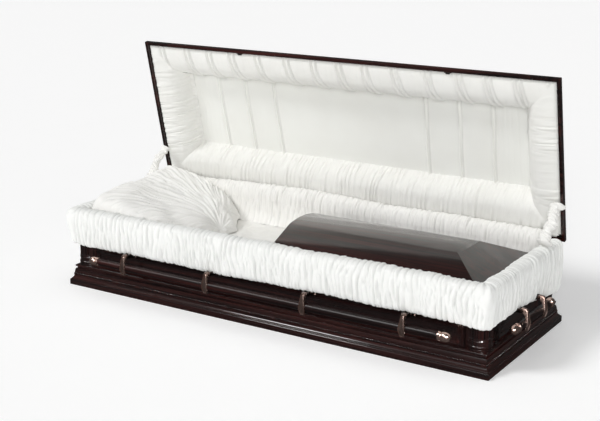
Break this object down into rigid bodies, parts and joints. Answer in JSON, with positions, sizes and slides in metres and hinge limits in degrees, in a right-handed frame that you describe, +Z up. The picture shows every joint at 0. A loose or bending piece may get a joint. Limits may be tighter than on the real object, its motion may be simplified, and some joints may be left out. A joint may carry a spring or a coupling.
{
  "type": "funeral casket",
  "caption": "Hardwood full-couch casket with moulded base, reeded corner columns, swinging bar handles, hinged crown lid and white cloth interior.",
  "frame": {"origin": "middle of the underside, on the plane it stands on", "axes": "+X along the length towards the foot end, +Y towards the hinge side, +Z up"},
  "size_m": [2.214, 0.9074, 1.069],
  "materials": {
    "wood": "dark red-brown hardwood, high gloss polish",
    "lining_cloth": "ivory crepe, gathered",
    "pillow_cloth": "ivory crepe, gathered to a tuft",
    "throw_cloth": "white crepe, finely gathered",
    "copper_plate": "antique copper plate, darker in the recesses",
    "dark_steel": "darkened"
  },
  "bodies": {
    "case": {"bottom_board": "wood", "base_moulding": "wood", "front_side": "wood", "rear_side": "wood", "head_end": "wood", "foot_end": "wood", "post_front_head": "wood", "post_front_foot": "wood", "post_rear_head": "wood", "post_rear_foot": "wood", "top_rail": "wood", "mattress": "lining_cloth", "pillow": "pillow_cloth", "side_lining": "lining_cloth", "foot_cover": "wood", "cover_ledge": "wood", "throw_roll": "throw_cloth", "throw_skirt": "throw_cloth", "hinge_apron": "lining_cloth", "hinge_case_leaf": "dark_steel", "stay_sleeve_head": "lining_cloth", "stay_sleeve_foot": "lining_cloth", "front_ear_1": "copper_plate", "front_ear_2": "copper_plate", "front_ear_3": "copper_plate", "front_ear_4": "copper_plate", "rear_ear_1": "copper_plate", "rear_ear_2": "copper_plate", "rear_ear_3": "copper_plate", "rear_ear_4": "copper_plate", "head_ear_1": "copper_plate", "head_ear_2": "copper_plate", "foot_ear_1": "copper_plate", "foot_ear_2": "copper_plate"},
    "lid": {"lid_edge": "wood", "lid_crown": "wood", "lid_lining_panel": "lining_cloth", "lid_roll_front": "lining_cloth", "lid_roll_rear": "lining_cloth", "lid_roll_head": "lining_cloth", "lid_roll_foot": "lining_cloth", "catch_head": "dark_steel", "catch_foot": "dark_steel", "hinge_lid_leaf": "dark_steel"},
    "front_handle": {"front_bar": "wood", "front_arm_1": "copper_plate", "front_arm_2": "copper_plate", "front_arm_3": "copper_plate", "front_arm_4": "copper_plate"},
    "rear_handle": {"rear_bar": "wood", "rear_arm_1": "copper_plate", "rear_arm_2": "copper_plate", "rear_arm_3": "copper_plate", "rear_arm_4": "copper_plate"},
    "head_handle": {"head_bar": "wood", "head_arm_1": "copper_plate", "head_arm_2": "copper_plate"},
    "foot_handle": {"foot_bar": "wood", "foot_arm_1": "copper_plate", "foot_arm_2": "copper_plate"}
  },
  "joints": [
    {"name": "lid_hinge", "type": "hinge", "parent": "case", "child": "lid", "pos_m": [0, 0.3715, 0.343], "axis": [1, 0, 0], "range_deg": [0, 78], "deforming": ["pillow", "throw_roll", "hinge_apron", "stay_sleeve_head", "stay_sleeve_foot"]},
    {"name": "front_handle_swing", "type": "hinge", "parent": "case", "child": "front_handle", "pos_m": [0, -0.382, 0.197], "axis": [-1, 0, 0], "range_deg": [0, 90]},
    {"name": "rear_handle_swing", "type": "hinge", "parent": "case", "child": "rear_handle", "pos_m": [0, 0.382, 0.197], "axis": [1, 0, 0], "range_deg": [0, 90]},
    {"name": "head_handle_swing", "type": "hinge", "parent": "case", "child": "head_handle", "pos_m": [-1.074, 0, 0.197], "axis": [0, 1, 0], "range_deg": [0, 90]},
    {"name": "foot_handle_swing", "type": "hinge", "parent": "case", "child": "foot_handle", "pos_m": [1.074, 0, 0.197], "axis": [0, -1, 0], "range_deg": [0, 90]}
  ]
}
